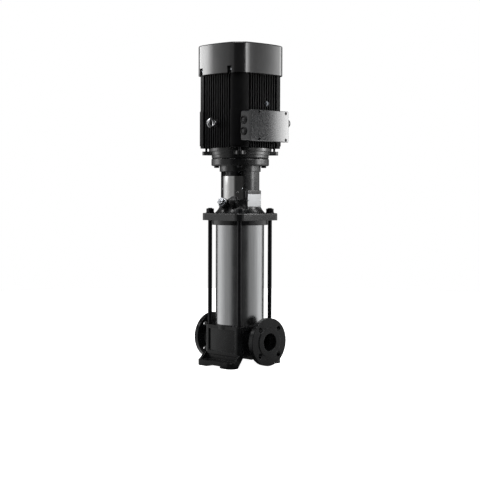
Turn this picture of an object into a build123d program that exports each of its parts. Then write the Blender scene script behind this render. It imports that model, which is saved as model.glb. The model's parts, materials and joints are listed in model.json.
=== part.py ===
from build123d import *
from math import cos, radians, sin
import os

# Vertical in-line multistage pump with a flange-mounted motor. Millimetres.
# The origin is on the pump axis at floor level, +Z is up and +X points out of the discharge port.

# ---- clearances ----
slip = 0.05              # radial play of assembled round fits and of running bushes
side_gap = 0.3           # play between faces that only lie beside each other
wear_gap = 0.4           # radial play at the impeller eyes and behind the hubs

# ---- port flanges ----
port_bore = 50.0
port_mouth = 62.0
port_mouth_depth = 16.0
port_span = 300.0
port_height = 90.0
port_neck = 86.0
flange_diameter = 165.0
flange_thickness = 20.0
flange_bolt_circle = 125.0
flange_bolt_hole = 18.0
raised_face = 102.0
raised_face_height = 2.5

# ---- base casting ----
base_width = 175.0
base_corner = 15.0
base_top = 141.0
base_wall = 12.0
base_floor = 8.0
arch_height = 38.0
underside_core = 10.0    # how much higher the underside is inside the walls than at the arches
foot_length = 176.0
foot_width = 256.0
foot_thickness = 21.0
foot_corner = 20.0
foot_strip = 35.0        # width of the bearing strip at the floor
foot_relief_length = 70.0
foot_relief_height = 7.0
foot_bolt_x = 130.0
foot_bolt_y = 215.0
foot_bolt_hole = 14.0
gusset_thickness = 10.0
gusset_rise = 24.0
gusset_reach = 24.0
column_width = 21.0
panel_recess = 4.5
panel_bulge = 3.5
deck_band = 13.0
deck_rim_wall = 4.0
deck_rim_height = 3.0
cup_bore = 88.0
cup_wall = 8.0
cup_top = 124.0
duct_wall = 6.0

# ---- sleeve and staybolts ----
sleeve_diameter = 170.0
sleeve_wall = 2.5
sleeve_seat_depth = 9.0
gasket_thickness = 2.0
staybolt_circle = 210.0
staybolt_diameter = 14.5
staybolt_engagement = 25.0
staybolt_nut_width = 24.0
staybolt_nut_height = 13.0
staybolt_washer_width = 30.0
staybolt_washer_thickness = 3.0
staybolt_end = 2.0

# ---- hydraulic stack ----
stage_count = 8
stage_height = 45.0
inlet_guide_height = 6.0
chamber_diameter = 140.0
chamber_wall = 2.5
impeller_diameter = 118.0
impeller_outlet = 7.0    # width between the shrouds at the rim
impeller_shroud = 2.0
impeller_eye = 54.0
impeller_floor_gap = 4.0
blade_count = 6
blade_sweep = 62.0       # degrees from inlet edge to outlet edge
blade_wedge = 4.5        # degrees of thickness
hub_diameter = 26.0
vane_count = 6
vane_sweep = 35.0
vane_wedge = 3.5
return_port = 5.0        # radial width of the gap that leads water to the return vanes
shaft_diameter = 18.0
shaft_foot = 14.0        # shaft length below the inlet guide
bush_wall = 5.0
bush_length = 18.0
discharge_guide_height = 25.0
discharge_window = 16.0

# ---- pump head and motor stool ----
collar_diameter = 195.0
collar_height = 16.0
head_flange_thickness = 25.0
ear_radius = 26.0
head_cavity_wall = 4.0
dome_foot_diameter = 180.0
dome_height = 40.0
stool_diameter = 139.0
stool_bore = 110.0
stool_floor_height = 18.0
sill_height = 48.0       # above the head flange
window_height = 97.0
window_half_angle = 58.0
ledge_angle = 8.0
neck_diameter = 144.0
neck_height = 20.0
stool_flange_diameter = 202.0
stool_flange_thickness = 25.0
rim_fillet = 4.0
pad_face = 71.0
pad_edge = 3.0           # of the pad beyond the nameplate
pad_rise = 80.0
seal_bore = 64.0

# ---- plugs and plate on the head ----
vent_tilt = 30.0
vent_reach = 84.0
vent_rise = 37.0
vent_hex = 24.0
vent_head_length = 13.0
vent_boss_diameter = 36.0
vent_thread = 12.0
priming_azimuth = -62.0
priming_tilt = 48.0
priming_reach = 78.0
priming_rise = 44.0
priming_head = 25.0
priming_head_length = 11.0
nameplate_edge = 4.0     # from a rivet to the end of the plate
nameplate_height = 43.0
nameplate_thickness = 1.0
nameplate_rise = 45.0
rivet_diameter = 5.0
rivet_spacing = 56.0

# ---- coupling and guards ----
coupling_diameter = 88.0
coupling_length = 104.0
coupling_split = 3.0
coupling_flat = 26.0     # distance of the clamping faces from the axis
coupling_web = 14.0      # half width of the round back between the clamping faces
coupling_screw = 8.0
coupling_screw_head = 13.0
coupling_screw_y = 26.5
coupling_drop = 30.0     # from the motor flange face to the top of the coupling
shaft_end_gap = 6.0
guard_thickness = 1.2
guard_drop = 10.0        # below the window sill
guard_top_gap = 16.0
guard_screw = 5.0
guard_bead = 0.8

# ---- motor ----
motor_spigot = 130.0
motor_spigot_height = 4.0
motor_flange_diameter = 200.0
motor_flange_thickness = 12.0
motor_bolt_circle = 165.0
motor_bolt = 10.0
motor_bolt_head = 16.0
lug_plate_thickness = 13.0
shield_diameter = 220.0
shield_height = 36.0
lug_radius = 14.0
tie_bolt_circle = 238.0
tie_bolt = 8.0
frame_width = 223.0
frame_corner = 44.0
frame_length = 252.0
frame_bore = 175.0
frame_wall = 7.0
fin_count = 11
fin_thickness = 4.5
corner_pad_height = 120.0
corner_pad_lift = 8.0
corner_pad_proud = 2.5
motor_shaft = 38.0
bearing_bore = 40.0
bearing_outer = 90.0
bearing_width = 23.0
bearing_inset = 9.0
race_width = 6.0
bearing_seal_inset = 1.5
hub_wall = 9.0
core_length = 150.0
core_bore = 104.0
air_gap = 0.5
winding_overhang = 25.0
winding_thickness = 22.0
rear_shield_height = 24.0
rear_shield_plate = 9.0

# ---- fan and cover ----
cover_reach = 126.8         # from the axis to the middle of a side of the fan cover
cover_bow = 405.0           # radius of the bowed sides
cover_corner = 61.0
cover_height = 103.0
cover_wall = 2.0
cover_edge = 4.0
cover_screw = 6.0
cover_screw_x = 71.0
cover_screw_rise = 13.0
dimple_width = 19.0
dimple_sink = 1.5           # how far the dimples reach into the rear shield
dimple_height = 23.0
fan_diameter = 176.0
fan_shaft = 28.0
fan_hub = 48.0
fan_rise = 34.0
fan_height = 32.0
fan_blades = 7
grille_rings = 3
grille_slots = 16
grille_inner = 34.0
grille_pitch = 21.0
grille_slot_length = 15.0
grille_slot_width = 7.0

# ---- terminal box ----
box_seat = 1.5           # depth of the seat cut into the fins
box_low_y = -104.0
box_high_y = 79.0
box_height = 106.0
box_centre_z = 830.0
box_depth = 40.0
box_corner = 9.0
box_wall = 4.0
box_gasket = 1.5
lid_thickness = 8.0
lid_screw_low_y = -66.0
lid_screw_high_y = 64.0
lid_screw_inset = 7.5
lid_screw = 5.0
lid_screw_head = 9.0
lid_screw_head_height = 3.2
lid_screw_length = 16.0
lid_screw_sink = 4.0      # of the head's seat below the face of the lid
entry_diameter = 22.0
entry_head = 29.0
entry_head_length = 6.0
entry_pitch = 38.0
entry_set = 12.8         # distance of the entry axes from the back of the box
side_entry_set = 20.0
side_entry_rise = 14.0
side_entry_length = 27.0

# ---- small motor parts ----
eye_height = 842.0
eye_x = -8.0
eye_ring = 26.0
eye_wire = 9.0
eye_shank = 10.0
eye_collar = 15.0
earth_y = 17.0
earth_z = 910.0
earth_width = 14.0

# ---- derived levels and radii ----
half_body = base_width / 2
staybolt_radius = staybolt_circle / 2
sleeve_radius = sleeve_diameter / 2
sleeve_bore_radius = sleeve_radius - sleeve_wall
chamber_radius = chamber_diameter / 2
shaft_radius = shaft_diameter / 2
stack_bottom = cup_top + inlet_guide_height
stack_top = stack_bottom + stage_count * stage_height
head_underside = stack_top + discharge_guide_height
sleeve_bottom = base_top - sleeve_seat_depth + gasket_thickness
head_bottom = head_underside - 24.0
sleeve_top_seat = head_bottom + sleeve_seat_depth - 1.0
sleeve_top = sleeve_top_seat - gasket_thickness
flange_bottom = head_bottom + collar_height
flange_top = flange_bottom + head_flange_thickness
stool_floor = flange_top + stool_floor_height
sill = flange_top + sill_height
window_top = sill + window_height
guard_bottom = sill - guard_drop
guard_top = window_top - guard_top_gap
stool_top_underside = window_top + neck_height
motor_face = stool_top_underside + stool_flange_thickness
lug_bottom = motor_face + motor_flange_thickness
frame_bottom = motor_face + shield_height
frame_top = frame_bottom + frame_length
rear_shield_top = frame_top + rear_shield_height
top = frame_top + cover_height
coupling_top = motor_face - coupling_drop
coupling_bottom = coupling_top - coupling_length
half_frame = frame_width / 2
dimple_seat = half_frame + cover_wall - dimple_sink
motor_shaft_radius = motor_shaft / 2
motor_shaft_end = coupling_bottom + (coupling_length - shaft_end_gap) / 2 + shaft_end_gap
pump_shaft_top = motor_shaft_end - shaft_end_gap
tie_radius = tie_bolt_circle / 2
stool_radius = stool_diameter / 2
guard_radius = stool_bore / 2 + 5.0
nameplate_width = rivet_spacing + 2 * nameplate_edge
pad_width = nameplate_width + 2 * pad_edge
drive_bearing_bottom = motor_face + bearing_inset
rear_bearing_bottom = rear_shield_top - rear_shield_plate - bearing_width
core_bottom = (frame_bottom + frame_top - core_length) / 2
fan_bottom = frame_top + fan_rise
box_back = half_frame - box_seat
box_front = box_back + box_depth
lid_back = box_front + box_gasket
lid_front = lid_back + lid_thickness
box_low_z = box_centre_z - box_height / 2
box_high_z = box_centre_z + box_height / 2
box_centre_y = (box_low_y + box_high_y) / 2
box_width = box_high_y - box_low_y
wall_grip = 1.0          # overlap given to shapes that are fused into one casting

BOTTOM = (Align.CENTER, Align.CENTER, Align.MIN)


# ---- shape helpers ----
def rod(radius, low, high, x=0.0, y=0.0):
    return Pos(x, y, low) * Cylinder(radius, high - low, align=BOTTOM)


def ring(outer, inner, low, high, x=0.0, y=0.0):
    bore = rod(inner, low - 1, high + 1, x, y)
    return rod(outer, low, high, x, y) - bore


def block(x0, x1, y0, y1, z0, z1):
    centre = Pos((x0 + x1) / 2, (y0 + y1) / 2, (z0 + z1) / 2)
    return centre * Box(x1 - x0, y1 - y0, z1 - z0)


def prism(sketch, low, high):
    return extrude(Pos(0, 0, low) * sketch, high - low)


def rounded_block(width_x, width_y, corner, low, high):
    return prism(RectangleRounded(width_x, width_y, corner), low, high)


def outline(*points):
    return make_face(Polyline(*points, close=True))


def turned(*radius_and_level):
    return revolve(outline(*[(r, 0, z) for r, z in radius_and_level]), Axis.Z)


def polar(radius, angle):
    return radius * cos(radians(angle)), radius * sin(radians(angle))


def diagonals(radius):
    return [polar(radius, 45 + 90 * i) for i in range(4)]


def hexagon(across_flats, low, high, x=0.0, y=0.0):
    shape = RegularPolygon(across_flats / 2, 6, major_radius=False)
    return Pos(x, y, 0) * prism(shape, low, high)


def sector(outer, inner, half_angle, middle, low, high):
    """Part of a ring about the Z axis, half_angle to each side of the middle direction."""
    start, end = middle - half_angle, middle + half_angle
    outer_arc = ThreePointArc(polar(outer, start), polar(outer, middle), polar(outer, end))
    inner_arc = ThreePointArc(polar(inner, end), polar(inner, middle), polar(inner, start))
    sides = [Line(polar(outer, end), polar(inner, end)), Line(polar(inner, start), polar(outer, start))]
    return prism(make_face(Curve() + [outer_arc, sides[0], inner_arc, sides[1]]), low, high)


def along(origin, direction, shape):
    """Places a shape modelled up +Z so that it stands at origin and points in direction."""
    return Plane(origin=origin, z_dir=direction) * shape


def swept_blade(inner, outer, sweep, wedge, low, high):
    """A curved blade between two radii that leans back by sweep degrees."""
    def edge(turn):
        middle = polar((inner + outer) / 2, turn + sweep * 0.38)
        return ThreePointArc(polar(inner, turn), middle, polar(outer, turn + sweep))

    front, back = edge(0), edge(wedge)
    tip = Line(front @ 1, back @ 1)
    root = Line(back @ 0, front @ 0)
    return prism(make_face(Curve() + [front, tip, back, root]), low, high)


def hull(circles):
    return make_hull([edge for circle in circles for edge in circle.edges()])


def around(count, shape):
    return [Rot(0, 0, 360 / count * i) * shape for i in range(count)]


# ---- base ----
def foot_strips():
    half, near = foot_width / 2, foot_width / 2 - foot_strip
    inner = near - 27.0
    side = Plane.YZ * Pos(0, 0, -foot_length / 2) * make_face(Polyline(
        (near, 0), (half, 0), (half, foot_thickness), (half_body - wall_grip, foot_thickness),
        (half_body - wall_grip, arch_height + 6), (inner, arch_height + 6), (inner, arch_height),
        close=True))
    strip = extrude(side, foot_length)
    strips = strip + mirror(strip, Plane.XZ)
    strips &= rounded_block(foot_length, foot_width, foot_corner, 0, arch_height + 6)
    relief_half = foot_relief_length / 2
    return strips - block(-relief_half, relief_half, -half - 1, half + 1, -1, foot_relief_height)


def gussets():
    web = outline((0, half_body - wall_grip, foot_thickness - wall_grip),
                  (0, half_body + gusset_reach, foot_thickness - wall_grip),
                  (0, half_body, foot_thickness + gusset_rise),
                  (0, half_body - wall_grip, foot_thickness + gusset_rise))
    start = foot_length / 2 - gusset_thickness
    web = Pos(start, 0, 0) * extrude(web, gusset_thickness, dir=(1, 0, 0))
    pair = web + mirror(web, Plane.YZ)
    return pair + mirror(pair, Plane.XZ)


def body_panels():
    """The shallow bowed recesses between the corner columns, one for each side."""
    half_panel = half_body - column_width
    low, high = foot_thickness + gusset_rise + 6, base_top - deck_band
    bow = ThreePointArc((-half_panel, half_body - panel_recess),
                        (0, half_body - panel_recess + panel_bulge),
                        (half_panel, half_body - panel_recess))
    rest = Polyline(bow @ 1, (half_panel, half_body + 3), (-half_panel, half_body + 3), bow @ 0)
    cut = prism(make_face(Curve() + [bow, rest]), low, high)
    return around(4, cut)


def port(side):
    """One flanged port about the X axis. side is +1 for the discharge and -1 for the suction."""
    face, back = port_span / 2, port_span / 2 - flange_thickness
    flange_face = face - raised_face_height
    neck = port_neck / 2
    start = half_body - 22
    profile = outline((start, 0, 0), (start, 0, neck), (back - 16, 0, neck), (back, 0, neck + 7),
                      (back, 0, flange_diameter / 2), (flange_face - 1, 0, flange_diameter / 2),
                      (flange_face, 0, flange_diameter / 2 - 1), (flange_face, 0, raised_face / 2),
                      (face, 0, raised_face / 2), (face, 0, 0))
    body = revolve(profile, Axis.X)
    for i in range(4):
        y, z = polar(flange_bolt_circle / 2, 45 + 90 * i)
        hole = Cylinder(flange_bolt_hole / 2, flange_thickness * 2)
        body -= Pos(face - flange_thickness / 2, y, z) * Rot(0, 90, 0) * hole
    if side < 0:
        body = Rot(0, 0, 180) * body
    return Pos(0, 0, port_height) * body


def port_passage(side, end):
    """The water way of one port, from its face in to the radius end."""
    face, mouth, bore = port_span / 2, port_mouth / 2, port_bore / 2
    deep = face - port_mouth_depth
    profile = outline((end, 0, 0), (end, 0, bore), (deep - 2 * (mouth - bore), 0, bore),
                      (deep, 0, mouth), (face + 1, 0, mouth), (face + 1, 0, 0))
    way = revolve(profile, Axis.X)
    if side < 0:
        way = Rot(0, 0, 180) * way
    return Pos(0, 0, port_height) * way


def base_casting():
    cavity_radius = half_body - base_wall
    core_top = arch_height + underside_core
    cavity_floor = core_top + base_floor
    cup_radius = cup_bore / 2
    casting = rounded_block(base_width, base_width, base_corner, arch_height, base_top)
    for panel in body_panels():
        casting -= panel
    rim = sleeve_radius + slip + deck_rim_wall
    casting += rod(rim, base_top - deck_band, base_top + deck_rim_height)
    casting += foot_strips()
    casting += gussets()
    casting += port(1)
    casting += port(-1)
    casting -= rod(cavity_radius, arch_height - 1, core_top)
    casting -= rod(cavity_radius, cavity_floor, base_top + 4)
    casting -= rod(sleeve_radius + slip, base_top - sleeve_seat_depth, base_top + 4)
    casting += rod(cup_radius + cup_wall, cavity_floor - wall_grip, cup_top)
    duct = Rot(0, -90, 0) * Pos(0, 0, cup_radius) * Cylinder(
        port_bore / 2 + duct_wall, cavity_radius + wall_grip - cup_radius, align=BOTTOM)
    casting += Pos(0, 0, port_height) * duct
    casting -= rod(cup_radius, cavity_floor, cup_top + 1)
    casting -= port_passage(-1, cup_radius - 6)
    casting -= port_passage(1, cavity_radius - 8)
    for x, y in diagonals(staybolt_radius):
        casting -= rod(staybolt_diameter / 2 + slip, base_top - staybolt_engagement, base_top + 1, x, y)
    for x in (-foot_bolt_x / 2, foot_bolt_x / 2):
        for y in (-foot_bolt_y / 2, foot_bolt_y / 2):
            casting -= rod(foot_bolt_hole / 2, -1, foot_thickness + 1, x, y)
    casting -= drain_cut()
    return casting


def drain_place(shape):
    return along((0, cavity_wall_y(), foot_thickness + gusset_rise + 24), (0, 1, 0), shape)


def cavity_wall_y():
    return half_body - panel_recess + panel_bulge


def drain_cut():
    return drain_place(Pos(0, 0, -base_wall - 4) * Cylinder(6.0 + slip, base_wall + 8, align=BOTTOM))


def drain_plug():
    stem = Pos(0, 0, -base_wall + 3) * Cylinder(6.0, base_wall - 3, align=BOTTOM)
    return drain_place(stem + hexagon(17.0, 0, 9.0))


# ---- hydraulics ----
def inlet_guide():
    """Spider on top of the suction cup that centres the lower bush and feeds the first eye."""
    eye = impeller_eye / 2
    outer = cup_bore / 2 + cup_wall
    plate = turned((eye + 2, cup_top), (outer, cup_top), (outer, stack_bottom), (eye + 2, stack_bottom))
    bush = shaft_radius + bush_wall
    part = plate + rod(bush, stack_bottom - bush_length, stack_bottom - 2)
    for arm in around(3, block(bush - 2, eye + 4, -2.5, 2.5, cup_top, stack_bottom - 1)):
        part += arm
    return part - rod(shaft_radius + slip, cup_top - bush_length, stack_bottom + 1)


def impeller():
    """Closed impeller with its eye down, standing on level 0 of its stage."""
    low = impeller_floor_gap + chamber_wall
    rim, eye, hub = impeller_diameter / 2, impeller_eye / 2, hub_diameter / 2
    cheek = low + impeller_shroud
    back = cheek + impeller_outlet
    lower = turned((eye - 2, 0.5), (eye, 0.5), (eye, low + 4), (rim, low), (rim, cheek), (eye - 2, cheek + 4))
    upper = turned((hub - 1, back), (rim, back), (rim, back + impeller_shroud), (hub + 3, back + impeller_shroud + 3),
                   (hub - 1, back + impeller_shroud + 3))
    part = lower + upper + rod(hub, low, low + stage_height)
    blade = swept_blade(eye - 3, rim - 0.5, blade_sweep, blade_wedge, cheek, back + 0.5)
    lean = turned((eye - 3.5, cheek + 4), (eye - 2, cheek + 3.5), (rim, cheek - 0.5), (rim, back + 1), (eye - 3.5, back + 1))
    for vane in around(blade_count, blade & lean):
        part += vane
    return part - rod(shaft_radius + slip, -1, low + stage_height + 1)


def stage_chamber():
    """One stage casing: floor with the eye ring, wall, diffuser plate and return vanes."""
    outer, inner = chamber_radius, chamber_radius - chamber_wall
    eye = impeller_eye / 2 + wear_gap
    plate = 2 * chamber_wall + impeller_floor_gap + impeller_outlet + 2 * impeller_shroud + 9
    bore = hub_diameter / 2 + wear_gap
    shell = turned((eye, 0), (outer, 0), (outer, stage_height), (inner, stage_height),
                   (inner, chamber_wall), (eye, chamber_wall))
    part = shell + ring(inner - return_port, bore, plate, plate + chamber_wall)
    vane = swept_blade(bore + 8, inner + 0.5, -vane_sweep, vane_wedge, plate + 0.5, stage_height)
    for copy in around(vane_count, vane):
        part += copy
    return part


def discharge_guide():
    """Top piece of the stack; its windows let the water out into the sleeve."""
    inner = chamber_radius - 6
    bore = hub_diameter / 2 + wear_gap
    part = turned((bore, stack_top), (chamber_radius, stack_top), (chamber_radius, head_underside),
                  (inner, head_underside), (inner, stack_top + 3), (bore, stack_top + 3))
    for i in range(6):
        slot = block(0, chamber_radius + 2, -discharge_window, discharge_window,
                     stack_top + 6, head_underside - 4)
        part -= Rot(0, 0, 60 * i) * slot & ring(chamber_radius + 2, inner - 2, stack_top, head_underside)
    return part


def pump_shaft():
    return rod(shaft_radius, stack_bottom - bush_length - shaft_foot, pump_shaft_top)


def outer_sleeve():
    return ring(sleeve_radius, sleeve_bore_radius, sleeve_bottom, sleeve_top)


def sleeve_gaskets():
    lower = ring(sleeve_radius, sleeve_bore_radius, sleeve_bottom - gasket_thickness, sleeve_bottom)
    return [lower, ring(sleeve_radius, sleeve_bore_radius, sleeve_top, sleeve_top_seat)]


def staybolts():
    low, high = base_top - staybolt_engagement, staybolt_nut_top() + staybolt_end
    return [rod(staybolt_diameter / 2, low, high, x, y) for x, y in diagonals(staybolt_radius)]


def staybolt_nut_top():
    return flange_top + staybolt_washer_thickness + staybolt_nut_height


def staybolt_nuts():
    pieces = []
    seat = flange_top + staybolt_washer_thickness
    hole = staybolt_diameter / 2 + slip
    for x, y in diagonals(staybolt_radius):
        pieces.append(ring(staybolt_washer_width / 2, hole, flange_top, seat, x, y))
        nut = hexagon(staybolt_nut_width, seat, staybolt_nut_top(), x, y)
        pieces.append(nut - rod(hole, seat - 1, staybolt_nut_top() + 1, x, y))
    return pieces


# ---- head and stool ----
def head_flange():
    ears = [Pos(x, y, 0) * Circle(ear_radius) for x, y in diagonals(staybolt_radius)]
    plate = prism(hull(ears), flange_bottom, flange_top)
    plate = fillet(plate.edges().group_by(Axis.Z)[-1], 3.0)
    for x, y in diagonals(staybolt_radius):
        plate -= rod(staybolt_diameter / 2 + 1, flange_bottom - 1, flange_top + 1, x, y)
    return plate


def dome():
    foot, waist = dome_foot_diameter / 2, stool_radius
    flare = ThreePointArc((foot, 0, flange_top), ((foot + 3 * waist) / 4, 0, flange_top + dome_height * 0.45),
                          (waist, 0, flange_top + dome_height))
    rest = Polyline(flare @ 1, (0, 0, flange_top + dome_height), (0, 0, flange_top - wall_grip),
                    (foot, 0, flange_top - wall_grip), flare @ 0)
    return revolve(make_face(Curve() + [flare, rest]), Axis.Z)


def stool_windows():
    """The window openings on the front and the back of the stool."""
    return [sector(stool_radius + 1, guard_radius, window_half_angle, middle, sill, window_top)
            for middle in (-90, 90)]


def guard_pockets():
    """The room behind the sills for the guards, with a screw ledge left beside each column."""
    cuts = []
    bore = stool_bore / 2
    for middle in (-90, 90):
        cuts.append(sector(guard_radius + guard_thickness + side_gap, guard_radius - 0.5,
                           window_half_angle, middle, guard_bottom, window_top))
        cuts.append(sector(guard_radius, bore - 5, window_half_angle - ledge_angle, middle,
                           guard_bottom, window_top))
    return cuts


def nameplate_pad():
    half = pad_width / 2
    body = block(bore_side(), pad_face, -half, half, flange_top - wall_grip, flange_top + pad_rise)
    edges = body.edges().filter_by(Axis.Z).group_by(Axis.X)[-1]
    body = fillet(edges, 4.0)
    return fillet(body.edges().group_by(Axis.Z)[-1].group_by(Axis.X)[-1], 3.0)


def nameplate_seat():
    """Where the flat of the pad cuts back the flare of the dome."""
    low = flange_top + nameplate_rise - nameplate_height / 2 - 2
    return block(pad_face, pad_face + 20, -pad_width / 2 - 4, pad_width / 2 + 4, low, flange_top + pad_rise)


def bore_side():
    return stool_bore / 2 + 6


def vent_axis():
    return 0.0, -cos(radians(vent_tilt)), sin(radians(vent_tilt))


def vent_seat():
    return 0.0, -vent_reach, flange_top + vent_rise


def priming_axis():
    x, y = polar(cos(radians(priming_tilt)), priming_azimuth)
    return x, y, sin(radians(priming_tilt))


def priming_seat():
    x, y = polar(priming_reach, priming_azimuth)
    return x, y, flange_top + priming_rise


def plug_boss(seat, axis, radius, depth):
    return along(seat, axis, Pos(0, 0, -depth) * Cylinder(radius, depth, align=BOTTOM))


def pump_head():
    cavity = sleeve_bore_radius - head_cavity_wall
    casting = rod(collar_diameter / 2, head_bottom, flange_bottom + wall_grip) + head_flange()
    casting += dome()
    casting += rod(stool_radius, flange_top + dome_height - wall_grip, stool_top_underside + wall_grip)
    casting += rod(neck_diameter / 2, window_top, stool_top_underside + wall_grip)
    flange = rod(stool_flange_diameter / 2, stool_top_underside, motor_face)
    casting += fillet(flange.edges().filter_by(GeomType.CIRCLE), rim_fillet)
    for cut in stool_windows():
        casting -= cut
    casting += nameplate_pad()
    casting -= nameplate_seat()
    casting += plug_boss(vent_seat(), vent_axis(), vent_boss_diameter / 2, 34)
    casting += plug_boss(priming_seat(), priming_axis(), priming_head / 2 + 2.5, 26)
    casting -= rod(stool_bore / 2, stool_floor, motor_face + 1)
    casting -= rod(motor_spigot / 2 + slip, motor_face - motor_spigot_height - side_gap, motor_face + 1)
    for cut in guard_pockets():
        casting -= cut
    casting -= rod(sleeve_radius + slip, head_bottom - 1, sleeve_top_seat)
    casting -= rod(cavity, head_bottom - 1, head_underside)
    casting -= rod(seal_bore / 2, head_underside - 1, stool_floor + 1)
    thread = Cylinder(vent_thread / 2 + slip, 22, align=BOTTOM)
    casting -= along(vent_seat(), vent_axis(), Pos(0, 0, -20) * thread)
    casting -= along(priming_seat(), priming_axis(), Pos(0, 0, -9) * thread)
    for x, y in diagonals(motor_bolt_circle / 2):
        casting -= rod(motor_bolt / 2 + 0.5, stool_top_underside - 1, motor_face + 1, x, y)
    for x, z in guard_screw_places():
        casting -= guard_screw_hole(x, z, guard_screw / 2 + slip)
    for y in (-rivet_spacing / 2, rivet_spacing / 2):
        casting -= rivet_hole(y)
    return casting


def seal_seat():
    """Cartridge carrier bolted over the shaft opening, with the stationary seal ring."""
    bore = shaft_radius + 3
    outer = seal_bore / 2
    return turned((bore, head_underside + 4), (outer - slip, head_underside + 4), (outer - slip, stool_floor),
                  (outer + 8, stool_floor), (outer + 8, stool_floor + 5), (bore + 9, stool_floor + 5),
                  (bore + 6, stool_floor + 16), (bore, stool_floor + 16))


def seal_ring():
    """Turning half of the shaft seal, running on the underside of the seat."""
    inner = shaft_radius + slip
    return turned((inner, stack_top + 8), (inner + 7, stack_top + 8), (inner + 7, head_underside - 2),
                  (inner + 10, head_underside - 2), (inner + 10, head_underside + 4 - slip),
                  (inner, head_underside + 4 - slip))


def vent_plug():
    head = hexagon(vent_hex, 1.5, vent_head_length) + Cylinder(vent_hex / 2 + 2.5, 1.5, align=BOTTOM)
    head += Pos(0, 0, vent_head_length) * Cylinder(5.0, 3.0, align=BOTTOM)
    stem = Pos(0, 0, -16) * Cylinder(vent_thread / 2, 16, align=BOTTOM)
    return along(vent_seat(), vent_axis(), head + stem)


def priming_plug():
    head = Cylinder(priming_head / 2, priming_head_length, align=BOTTOM)
    head = fillet(head.edges().group_by(Axis.Z)[-1], 4.0)
    stem = Pos(0, 0, -8) * Cylinder(vent_thread / 2, 8, align=BOTTOM)
    return along(priming_seat(), priming_axis(), head + stem)


def rivet_hole(y, extra=slip):
    z = flange_top + nameplate_rise
    pin = Cylinder(rivet_diameter / 4 + extra, 8)
    return Pos(pad_face, y, z) * Rot(0, 90, 0) * pin


def nameplate():
    half, z = nameplate_width / 2, flange_top + nameplate_rise
    plate = block(pad_face, pad_face + nameplate_thickness, -half, half,
                  z - nameplate_height / 2, z + nameplate_height / 2)
    for y in (-rivet_spacing / 2, rivet_spacing / 2):
        plate -= rivet_hole(y)
    return plate


def nameplate_rivets():
    z = flange_top + nameplate_rise
    rivets = []
    for y in (-rivet_spacing / 2, rivet_spacing / 2):
        pin = Pos(0, 0, -3) * Cylinder(rivet_diameter / 4, 4, align=BOTTOM)
        head = Pos(0, 0, nameplate_thickness) * Cylinder(rivet_diameter / 2, 1.2, align=BOTTOM)
        rivets.append(along((pad_face, y, z), (1, 0, 0), pin + head))
    return rivets


def guard_screw_places():
    """The four guard screws, as the angle about Z and the level of each."""
    z = (guard_bottom + guard_top) / 2
    offset = window_half_angle - ledge_angle / 2
    return [(middle + side * offset, z) for middle in (-90, 90) for side in (-1, 1)]


def guard_screw_hole(angle, z, radius):
    x, y = polar(guard_radius - 4, angle)
    return along((x, y, z), (x, y, 0), Cylinder(radius, 12, align=BOTTOM))


def coupling_guard(middle):
    sheet = sector(guard_radius + guard_thickness, guard_radius, window_half_angle - side_gap, middle,
                   guard_bottom, guard_top)
    for level in (0.38, 0.86):
        z = guard_bottom + level * (guard_top - guard_bottom)
        sheet += sector(guard_radius + guard_thickness + guard_bead, guard_radius + 0.2,
                        window_half_angle - 2 * ledge_angle, middle, z, z + 2 * guard_bead)
    for angle, z in guard_screw_places():
        sheet -= guard_screw_hole(angle, z, guard_screw / 2 + slip)
    return sheet


def guard_screws():
    screws = []
    for angle, z in guard_screw_places():
        x, y = polar(guard_radius, angle)
        pin = Pos(0, 0, -3.5) * Cylinder(guard_screw / 2, 3.5 + guard_thickness + 0.1, align=BOTTOM)
        head = Pos(0, 0, guard_thickness + 0.1) * Cylinder(guard_screw * 0.85, 2.4, align=BOTTOM)
        screws.append(along((x, y, z), (x, y, 0), pin + head))
    return screws


# ---- coupling ----
def coupling_screw_levels():
    lower = coupling_bottom + 16
    return [lower, coupling_top - 16]


def coupling_half(side):
    """Half shell of the clamp coupling on the +X (side 1) or -X (side -1) side of the shafts."""
    radius = coupling_diameter / 2
    shell = rod(radius, coupling_bottom, coupling_top)
    shell &= block(coupling_split / 2, radius + 1, -radius - 1, radius + 1, coupling_bottom, coupling_top)
    for y0, y1 in ((-radius - 1, -coupling_web), (coupling_web, radius + 1)):
        shell -= block(coupling_flat, radius + 1, y0, y1, coupling_bottom - 1, coupling_top + 1)
    shell -= rod(shaft_radius + slip, coupling_bottom - 1, pump_shaft_top + side_gap)
    shell -= rod(motor_shaft_radius + slip, motor_shaft_end - side_gap, coupling_top + 1)
    shell -= rod(shaft_radius - 2, pump_shaft_top, motor_shaft_end)
    for y in (-coupling_screw_y, coupling_screw_y):
        for z in coupling_screw_levels():
            hole = Cylinder(coupling_screw / 2 + slip, coupling_diameter)
            shell -= Pos(0, y, z) * Rot(0, 90, 0) * hole
            sink = Cylinder(coupling_screw_head / 2 + 0.5, 12, align=BOTTOM)
            shell -= along((coupling_flat - 5, y, z), (1, 0, 0), sink)
    return shell if side > 0 else Rot(0, 0, 180) * shell


def coupling_screws():
    screws = []
    for y in (-coupling_screw_y, coupling_screw_y):
        for z in coupling_screw_levels():
            seat = coupling_flat - 5
            stem = Pos(0, 0, -2 * seat) * Cylinder(coupling_screw / 2, 2 * seat, align=BOTTOM)
            head = Cylinder(coupling_screw_head / 2, 8, align=BOTTOM)
            nut = Pos(0, 0, -2 * seat - 6) * Cylinder(coupling_screw_head / 2, 6, align=BOTTOM)
            screws.append(along((seat, y, z), (1, 0, 0), stem + head + nut))
    return screws


# ---- motor ----
def lug_plate():
    plate = Circle(shield_diameter / 2 - 6)
    for x, y in diagonals(1):
        tip = Pos(x * tie_radius, y * tie_radius, 0) * Circle(lug_radius)
        root = Pos(x * 70, y * 70, 0) * Circle(lug_radius * 2)
        plate += hull([tip, root])
    return prism(plate, lug_bottom, lug_bottom + lug_plate_thickness)


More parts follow.
